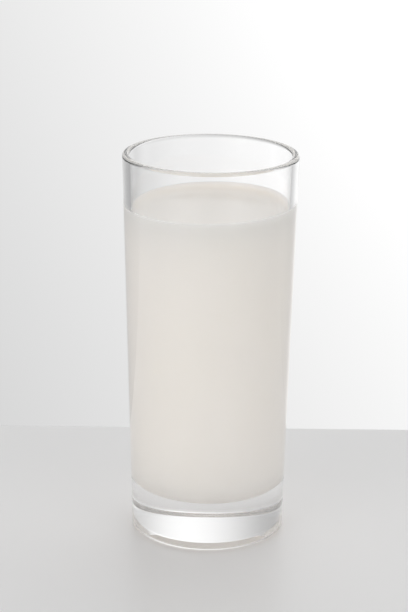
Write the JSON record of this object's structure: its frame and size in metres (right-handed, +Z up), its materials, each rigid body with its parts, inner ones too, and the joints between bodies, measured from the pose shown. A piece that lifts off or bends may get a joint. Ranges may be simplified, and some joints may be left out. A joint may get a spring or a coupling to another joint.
{
  "type": "glass of milk",
  "caption": "Tall clear glass tumbler, slightly tapered, with a thick heavy base, filled with milk to a little below its rim.",
  "frame": {"origin": "centre of the standing face under the tumbler, on its axis", "axes": "+Z up along the tumbler's axis, from the foot to the rim; round, so X and Y are alike"},
  "size_m": [0.062, 0.062, 0.139],
  "materials": {
    "clear_glass": "clear, fire-polished",
    "milk": "opaque wet milk, warm white"
  },
  "bodies": {
    "root": {"tumbler": "clear_glass", "milk": "milk"}
  },
  "joints": []
}
